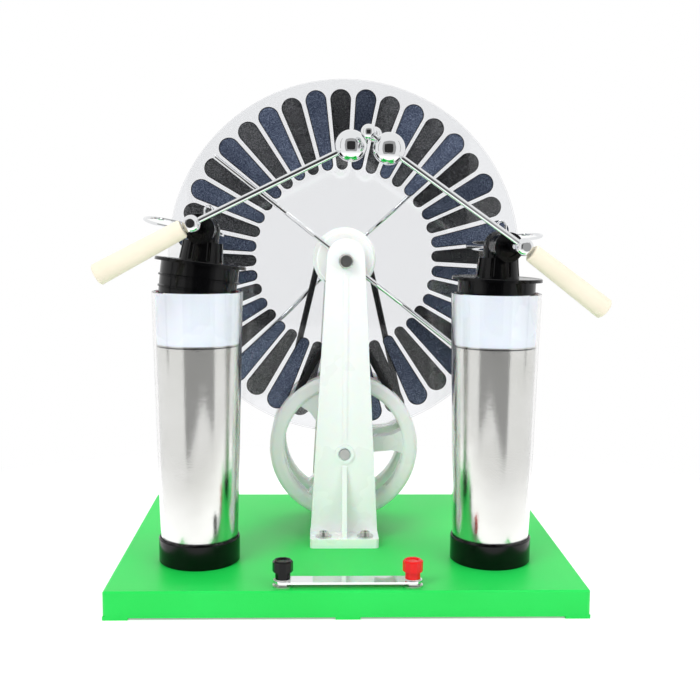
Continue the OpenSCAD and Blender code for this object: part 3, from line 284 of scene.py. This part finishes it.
def make_mottle_group():
    """Mottle: soft clouds of two colours and two roughnesses. A large noise mixes them, with as much
    of a fine noise as Speckle says, and the fine noise gives the grain's height."""
    group, inside, outside = new_group(
        "mottle",
        [("Vector", "vector", None), ("Cloud Scale", "float", 20.0), ("Grain Scale", "float", 900.0),
         ("Colour A", "colour", (0.8, 0.8, 0.8, 1)), ("Colour B", "colour", (0.7, 0.7, 0.7, 1)),
         ("Rough A", "float", 0.3), ("Rough B", "float", 0.4), ("Speckle", "float", 0.0)],
        [("Colour", "colour"), ("Roughness", "float"), ("Height", "float"), ("Mask", "float")])
    cloud = put(group, "ShaderNodeTexNoise", Vector=inside.outputs["Vector"],
                Scale=inside.outputs["Cloud Scale"], Detail=3.0, Roughness=0.55)
    spread = put(group, "ShaderNodeMapRange", Value=cloud.outputs[0])
    spread.inputs["From Min"].default_value = 0.32
    spread.inputs["From Max"].default_value = 0.68
    grain = put(group, "ShaderNodeTexNoise", Vector=inside.outputs["Vector"],
                Scale=inside.outputs["Grain Scale"], Detail=2.0, Roughness=0.6)
    dots = put(group, "ShaderNodeMapRange", Value=grain.outputs[0])
    dots.inputs["From Min"].default_value = 0.44
    dots.inputs["From Max"].default_value = 0.72
    share = put(group, "ShaderNodeMix", {"data_type": "FLOAT"}, i0=inside.outputs["Speckle"],
                   i2=spread.outputs[0], i3=dots.outputs[0])
    colour = put(group, "ShaderNodeMix", {"data_type": "RGBA"}, i0=share.outputs[0],
                    i6=inside.outputs["Colour A"], i7=inside.outputs["Colour B"])
    rough = put(group, "ShaderNodeMix", {"data_type": "FLOAT"}, i0=spread.outputs[0],
                   i2=inside.outputs["Rough A"], i3=inside.outputs["Rough B"])
    group.links.new(colour.outputs[2], outside.inputs["Colour"])
    group.links.new(rough.outputs[0], outside.inputs["Roughness"])
    group.links.new(grain.outputs[0], outside.inputs["Height"])
    group.links.new(spread.outputs[0], outside.inputs["Mask"])
    return group


def make_crease_group():
    """Crease: thin folded lines of a hand-laid foil. The distance to the edges of warped cells makes
    sharp lines, and a stretched noise makes the long soft waves between them."""
    group, inside, outside = new_group(
        "crease",
        [("Vector", "vector", None), ("Fold Scale", "float", 60.0), ("Wave Scale", "float", 9.0),
         ("Warp", "float", 0.02), ("Fine Scale", "float", 700.0)],
        [("Height", "float"), ("Fine", "float"), ("Mask", "float")])
    bend = put(group, "ShaderNodeTexNoise", Vector=inside.outputs["Vector"],
                  Scale=inside.outputs["Wave Scale"], Detail=2.0)
    shift = put(group, "ShaderNodeVectorMath", {"operation": "SCALE"})
    group.links.new(bend.outputs["Color"], shift.inputs[0])
    group.links.new(inside.outputs["Warp"], shift.inputs["Scale"])
    moved = put(group, "ShaderNodeVectorMath", {"operation": "ADD"})
    group.links.new(inside.outputs["Vector"], moved.inputs[0])
    group.links.new(shift.outputs[0], moved.inputs[1])
    cells = put(group, "ShaderNodeTexVoronoi", {"feature": "DISTANCE_TO_EDGE"}, Vector=moved.outputs[0],
                Scale=inside.outputs["Fold Scale"])
    line = put(group, "ShaderNodeMapRange", {"interpolation_type": "SMOOTHSTEP"}, Value=cells.outputs[0])
    line.inputs["From Max"].default_value = 0.09
    total = put(group, "ShaderNodeMath", {"operation": "MULTIPLY_ADD"}, i0=line.outputs[0], i1=0.35,
                   i2=bend.outputs[0])
    fine = put(group, "ShaderNodeTexNoise", Vector=inside.outputs["Vector"],
                  Scale=inside.outputs["Fine Scale"], Detail=2.0)
    group.links.new(total.outputs[0], outside.inputs["Height"])
    group.links.new(fine.outputs[0], outside.inputs["Fine"])
    group.links.new(line.outputs[0], outside.inputs["Mask"])
    return group


MOTTLE = make_mottle_group()
CREASE = make_crease_group()
RIM = make_rim_group()


def start_material(name):
    """New material with its node tree, its shader and the Object coordinates that patterns read."""
    material = bpy.data.materials.new(name)
    material.use_nodes = True
    tree = material.node_tree
    coords = tree.nodes.new("ShaderNodeTexCoord")
    return material, tree, tree.nodes["Principled BSDF"], coords.outputs["Object"]


def finish_plastic(name, colour_a, colour_b, rough_a, rough_b, cloud=25.0, grain=1400.0, depth=0.02,
                   distance=0.0002, **sockets):
    """Moulded plastic: mottled colour and gloss, with a fine grain bump; sockets set fixed values."""
    material, tree, shader, where = start_material(name)
    mottle = put(tree, "ShaderNodeGroup", {"node_tree": MOTTLE})
    tree.links.new(where, mottle.inputs["Vector"])
    for key, value in (("Cloud Scale", cloud), ("Grain Scale", grain), ("Colour A", colour_a),
                       ("Colour B", colour_b), ("Rough A", rough_a), ("Rough B", rough_b)):
        mottle.inputs[key].default_value = value
    bump = put(tree, "ShaderNodeBump", Strength=depth, Distance=distance, Height=mottle.outputs["Height"])
    tree.links.new(mottle.outputs["Colour"], shader.inputs["Base Color"])
    tree.links.new(mottle.outputs["Roughness"], shader.inputs["Roughness"])
    tree.links.new(bump.outputs[0], shader.inputs["Normal"])
    for key, value in sockets.items():
        shader.inputs[key.replace("_", " ")].default_value = value
    return material


def finish_foil(name, colour_a, colour_b, rough_a, rough_b, fold=60.0, wave=9.0, fine=700.0,
                fold_depth=0.3, fine_depth=0.1, stretch=(1, 1, 1), edge_z=0.1787):
    """Laid metal foil: creases and long waves bend the reflections, a fine grain blurs them, and a
    thin dark line runs round at height edge_z, where its edge is turned over."""
    material, tree, shader, where = start_material(name)
    mapping = put(tree, "ShaderNodeMapping", Vector=where, Scale=stretch)
    crease = put(tree, "ShaderNodeGroup", {"node_tree": CREASE})
    tree.links.new(mapping.outputs[0], crease.inputs["Vector"])
    for key, value in (("Fold Scale", fold), ("Wave Scale", wave), ("Fine Scale", fine)):
        crease.inputs[key].default_value = value
    mottle = put(tree, "ShaderNodeGroup", {"node_tree": MOTTLE})
    tree.links.new(where, mottle.inputs["Vector"])
    for key, value in (("Cloud Scale", wave * 2), ("Grain Scale", fine), ("Colour A", colour_a),
                       ("Colour B", colour_b), ("Rough A", rough_a), ("Rough B", rough_b)):
        mottle.inputs[key].default_value = value
    fine_bump = put(tree, "ShaderNodeBump", Strength=fine_depth, Distance=0.0002,
                    Height=crease.outputs["Fine"])
    bump = put(tree, "ShaderNodeBump", Strength=fold_depth, Distance=0.0006,
               Height=crease.outputs["Height"], Normal=fine_bump.outputs[0])
    split = put(tree, "ShaderNodeSeparateXYZ", Vector=where)
    line = put(tree, "ShaderNodeMath", {"operation": "COMPARE"}, i0=split.outputs["Z"], i1=edge_z, i2=0.0005)
    dark = put(tree, "ShaderNodeMix", {"data_type": "RGBA"}, i0=line.outputs[0],
               i6=mottle.outputs["Colour"], i7=(0.10, 0.10, 0.10, 1))
    tree.links.new(dark.outputs[2], shader.inputs["Base Color"])
    tree.links.new(mottle.outputs["Roughness"], shader.inputs["Roughness"])
    tree.links.new(bump.outputs[0], shader.inputs["Normal"])
    shader.inputs["Metallic"].default_value = 1.0
    return material


def finish_clear(name, tint, rough_a, rough_b, ior=1.49):
    """Clear plastic: light passes with a faint tint, and slow clouds of haze change its roughness.
    Diffuse light and shadows go straight through, as they nearly do through a thin clear wall."""
    material, tree, shader, where = start_material(name)
    mottle = put(tree, "ShaderNodeGroup", {"node_tree": MOTTLE}, Vector=where)
    feed(mottle, Cloud_Scale=14.0, Grain_Scale=500.0, Rough_A=rough_a, Rough_B=rough_b, Colour_A=tint,
         Colour_B=tint)
    tree.links.new(mottle.outputs["Roughness"], shader.inputs["Roughness"])
    feed(shader, Base_Color=tint, Transmission_Weight=1.0, IOR=ior)
    path = put(tree, "ShaderNodeLightPath")
    soft = put(tree, "ShaderNodeMath", {"operation": "MAXIMUM"}, i0=path.outputs["Is Shadow Ray"],
               i1=path.outputs["Is Diffuse Ray"])
    through = put(tree, "ShaderNodeBsdfTransparent", Color=tint)
    both = put(tree, "ShaderNodeMixShader", i0=soft.outputs[0], i1=shader.outputs[0],
               i2=through.outputs[0])
    tree.links.new(both.outputs[0], tree.nodes["Material Output"].inputs["Surface"])
    return material


def finish_sector(name, colour_a, colour_b, rough_a, rough_b, turn):
    """Thin foil glued to the disc: fine speckle in colour and gloss, faint dents, a tone of its own for
    each sector, and a thin dark outline where the edge is pressed down. turn is the angle of the
    set's first sector."""
    material, tree, shader, where = start_material(name)
    mottle = put(tree, "ShaderNodeGroup", {"node_tree": MOTTLE}, Vector=where)
    feed(mottle, Cloud_Scale=60.0, Grain_Scale=1100.0, Colour_A=colour_a, Colour_B=colour_b,
         Rough_A=rough_a, Rough_B=rough_b, Speckle=0.88)
    rim = put(tree, "ShaderNodeGroup", {"node_tree": RIM}, Vector=where)
    feed(rim, Turn=turn, Width=0.0010)
    shade = put(tree, "ShaderNodeMapRange", Value=rim.outputs["Tone"])
    feed(shade, To_Min=0.55, To_Max=1.35)
    toned = put(tree, "ShaderNodeVectorMath", {"operation": "SCALE"}, i0=mottle.outputs["Colour"],
                Scale=shade.outputs[0])
    dark = put(tree, "ShaderNodeMix", {"data_type": "RGBA"}, i0=rim.outputs["Rim"],
               i6=toned.outputs[0], i7=(0.008, 0.009, 0.012, 1))
    rough = put(tree, "ShaderNodeMix", {"data_type": "FLOAT"}, i0=rim.outputs["Rim"],
                i2=mottle.outputs["Roughness"], i3=0.5)
    bump = put(tree, "ShaderNodeBump", Strength=0.35, Distance=0.0002, Height=mottle.outputs["Height"])
    tree.links.new(dark.outputs[2], shader.inputs["Base Color"])
    tree.links.new(rough.outputs[0], shader.inputs["Roughness"])
    tree.links.new(bump.outputs[0], shader.inputs["Normal"])
    feed(shader, Metallic=0.6)
    return material


def finish_metal(name, colour_a, colour_b, rough_a, rough_b, cloud=40.0, grain=1500.0, depth=0.02):
    """Plated or turned metal: the plastic's mottle and grain on a fully metallic shader."""
    return finish_plastic(name, colour_a, colour_b, rough_a, rough_b, cloud, grain, depth, 0.0002,
                          Metallic=1.0)


# ------------------------------------------------------------------ finishes of this machine
GREEN = finish_plastic("green_moulding", (0.010, 0.60, 0.075, 1), (0.016, 0.66, 0.095, 1), 0.34, 0.44,
                       cloud=12.0, grain=1100.0, depth=0.35, distance=0.0004, Specular_IOR_Level=0.3)
WHITE = finish_plastic("milky_moulding", (0.90, 0.93, 0.91, 1), (0.93, 0.95, 0.94, 1), 0.24, 0.32,
                       cloud=18.0, Subsurface_Weight=0.35, Subsurface_Scale=0.006)
BLACK = finish_plastic("black_moulding", (0.0015, 0.0015, 0.002, 1), (0.003, 0.003, 0.0035, 1), 0.12, 0.22,
                       cloud=30.0, depth=0.05, Specular_IOR_Level=0.22)
CREAM = finish_plastic("cream_handle", (0.74, 0.68, 0.54, 1), (0.79, 0.73, 0.59, 1), 0.38, 0.50,
                       cloud=35.0, depth=0.10)
RED = finish_plastic("red_knob", (0.66, 0.002, 0.002, 1), (0.72, 0.004, 0.003, 1), 0.16, 0.26,
                     Specular_IOR_Level=0.3)
BELT = finish_plastic("belt_rubber", (0.004, 0.004, 0.005, 1), (0.010, 0.010, 0.011, 1), 0.45, 0.60,
                      grain=2200.0, depth=0.2, Specular_IOR_Level=0.25)
MILKY = finish_plastic("milky_cup", (0.83, 0.79, 0.87, 1), (0.87, 0.83, 0.90, 1), 0.22, 0.30,
                       cloud=15.0, Subsurface_Weight=0.3, Subsurface_Scale=0.004)
CLEAR_DISC = finish_clear("clear_disc", (0.955, 0.96, 0.97, 1), 0.03, 0.06)
CLEAR_JAR = finish_clear("clear_jar", (0.98, 0.98, 0.98, 1), 0.0, 0.02)
FRONT_FOIL = finish_sector("front_sector_foil", (0.030, 0.042, 0.085, 1), (0.30, 0.36, 0.50, 1), 0.16, 0.34,
                           turn=math.radians(FRONT_TURN))
REAR_FOIL = finish_sector("rear_sector_foil", (0.075, 0.075, 0.080, 1), (0.46, 0.46, 0.46, 1), 0.18, 0.36,
                          turn=math.radians(REAR_TURN))
JAR_FOIL = finish_foil("jar_foil", (0.76, 0.76, 0.74, 1), (0.68, 0.68, 0.65, 1), 0.05, 0.12,
                       fold=34.0, wave=10.0, fine=1300.0, fold_depth=0.10, fine_depth=0.35,
                       stretch=(1.0, 1.0, 0.6))
CHROME = finish_metal("chrome_plate", (0.80, 0.81, 0.82, 1), (0.76, 0.77, 0.78, 1), 0.03, 0.07)
STEEL = finish_metal("turned_steel", (0.62, 0.62, 0.61, 1), (0.48, 0.48, 0.47, 1), 0.30, 0.42)
ZINC = finish_metal("zinc_plate", (0.80, 0.80, 0.78, 1), (0.60, 0.60, 0.58, 1), 0.28, 0.42)
BRASS = finish_metal("brass", (0.72, 0.50, 0.20, 1), (0.60, 0.42, 0.18, 1), 0.22, 0.36)

FINISHES = {
    GREEN: ["base"],
    WHITE: ["front_upright", "rear_upright", "disc_spacer", "front_hub_pulley", "rear_hub_pulley",
            "front_drive_wheel", "rear_drive_wheel"],
    BLACK: ["black_knob"] + [s + n for s in ("left", "right") for n in
                             ("_jar_ring", "_stopper", "_elbow")],
    CREAM: ["crank_grip", "left_handle", "right_handle"],
    RED: ["red_knob"],
    BELT: ["front_belt", "rear_belt"],
    MILKY: ["left_jar_cup", "right_jar_cup"],
    CLEAR_DISC: ["front_disc", "rear_disc"],
    CLEAR_JAR: ["left_jar_shell", "right_jar_shell"],
    FRONT_FOIL: ["front_sectors"],
    REAR_FOIL: ["rear_sectors"],
    JAR_FOIL: [s + n for s in ("left", "right") for n in ("_jar_foil", "_jar_lining")],
    CHROME: ["front_neutraliser", "rear_neutraliser", "shorting_link"] + [
        s + n for s in ("left", "right") for n in ("_bar", "_fork", "_pivot_ball", "_rod", "_balls")],
    STEEL: ["axle", "drive_shaft", "crank_arm", "crank_pin"],
    ZINC: ["upright_screws", "axle_nuts", "terminal_posts", "black_washer", "red_washer",
           "jar_screws"],
    BRASS: ["lead_strips", "left_contact_rod", "right_contact_rod"],
}


def dress_nodes():
    """Gives every node of the frame its finish."""
    for material, names in FINISHES.items():
        for name in names:
            mesh = nodes[name].data
            mesh.materials.clear()
            mesh.materials.append(material)


# ------------------------------------------------------------------ pieces with more detail
def add_piece(name, points, faces, material, body, smooth=True):
    """Mesh object from points in mm, with its finish and the body it rides on."""
    mesh = bpy.data.meshes.new(name)
    mesh.from_pydata((np.asarray(points, float) * MM).tolist(), [], [list(map(int, f)) for f in faces])
    mesh.materials.append(material)
    mesh.polygons.foreach_set("use_smooth", np.full(len(mesh.polygons), smooth))
    mesh.update()
    piece = bpy.data.objects.new(name, mesh)
    bpy.context.scene.collection.objects.link(piece)
    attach(piece, body)
    return piece


def grid_faces(rings, steps, offset=0):
    """Quads of a grid of rings x steps points whose steps run round and close."""
    i, j = np.meshgrid(np.arange(rings - 1), np.arange(steps), indexing="ij")
    i, j, k = i.ravel(), j.ravel(), (j.ravel() + 1) % steps
    return np.stack([i * steps + j, i * steps + k, (i + 1) * steps + k, (i + 1) * steps + j], 1) + offset


def axis_frame(ahead):
    """Two unit vectors square to ahead and to each other, and ahead itself."""
    z = np.asarray(ahead, float) / np.linalg.norm(ahead)
    x = np.cross([0.0, 0.0, 1.0] if abs(z[2]) < 0.9 else [1.0, 0.0, 0.0], z)
    x /= np.linalg.norm(x)
    return x, np.cross(z, x), z


def turned_points(profile, centre, ahead, steps=48, sides=0, across=0.0):
    """Points of a profile of (radius, height) pairs carried round an axis. Where sides is given, a
    radius is cut back to the flats of a polygon: at angle a it is at most
    across / 2 / cos(a folded into half of one side)."""
    a = TAU * np.arange(steps) / steps
    radius, height = (np.array([p[i] for p in profile], float)[:, None] for i in (0, 1))
    radius = radius + 0 * a
    if sides:
        folded = (a + math.pi / sides) % (TAU / sides) - math.pi / sides
        radius = np.minimum(radius, across / 2 / np.cos(folded))
    x, y, z = axis_frame(ahead)
    ring = np.cos(a)[:, None] * x + np.sin(a)[:, None] * y
    return (np.asarray(centre, float) + radius[..., None] * ring + height[..., None] * z).reshape(-1, 3)


def closed_faces(rings, steps, offset):
    """Quads of a profile that is carried round an axis and closes on itself: the grid's own, and
    those from its last ring back to its first."""
    k = np.arange(steps)
    first, last, after = offset + k, offset + (rings - 1) * steps + k, (k + 1) % steps - k
    return np.concatenate([grid_faces(rings, steps, offset),
                           np.stack([last, last + after, first + after, first], 1)])


def add_axle_nuts():
    """Washer and nut on both ends of the axle. The washer's rim is rounded, and the nut's crown falls
    off beyond its flats. Both are profiles round the axle; the nut's is cut back to six flats."""
    bore, washer_r, washer_h = 3.0, 5.6, 1.0
    nut_bore, nut_r, nut_af, nut_top, steps = 3.02, 5.78, 10, 6.0, 72
    washer = [(bore, 0), (5.3, 0), (washer_r, 0.25), (washer_r, 0.75), (5.3, washer_h), (bore, washer_h)]
    nut = [(nut_bore, washer_h), (5.45, washer_h), (nut_r, 1.25), (nut_r, 5.3), (5.0, 5.75),
           (4.55, nut_top), (3.5, nut_top), (nut_bore, 5.5)]
    points, faces = [], []
    for way in (-1, 1):
        centre, ahead = (0, DISC_Y + way * FACE_U, AXLE_Z), (0, way, 0)
        for profile, sides, across in ((washer, 0, 0), (nut, 6, nut_af)):
            offset = sum(len(p) for p in points)
            points.append(turned_points(profile, centre, ahead, steps, sides, across))
            faces.append(closed_faces(len(profile), steps, offset))
    nuts = add_piece("axle_end_nuts", np.concatenate(points), np.concatenate(faces), ZINC,
                     "frame", smooth=False)
    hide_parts("axle_nuts")


# ------------------------------------------------------------------ run
place_camera()
build_world()
build_tent()
add_lamp("key", 1.2, 26, (-1.1, -1.3, 1.5), (0, 0, 0.18))
add_lamp("fill", 1.6, 16, (1.4, -1.0, 1.1), (0, 0, 0.18))
add_lamp("top", 1.4, 14, (0.1, 0.6, 1.7), (0, 0, 0.15))
build_floor()
dress_nodes()
add_axle_nuts()
bpy.context.scene.view_settings.view_transform = "Standard"
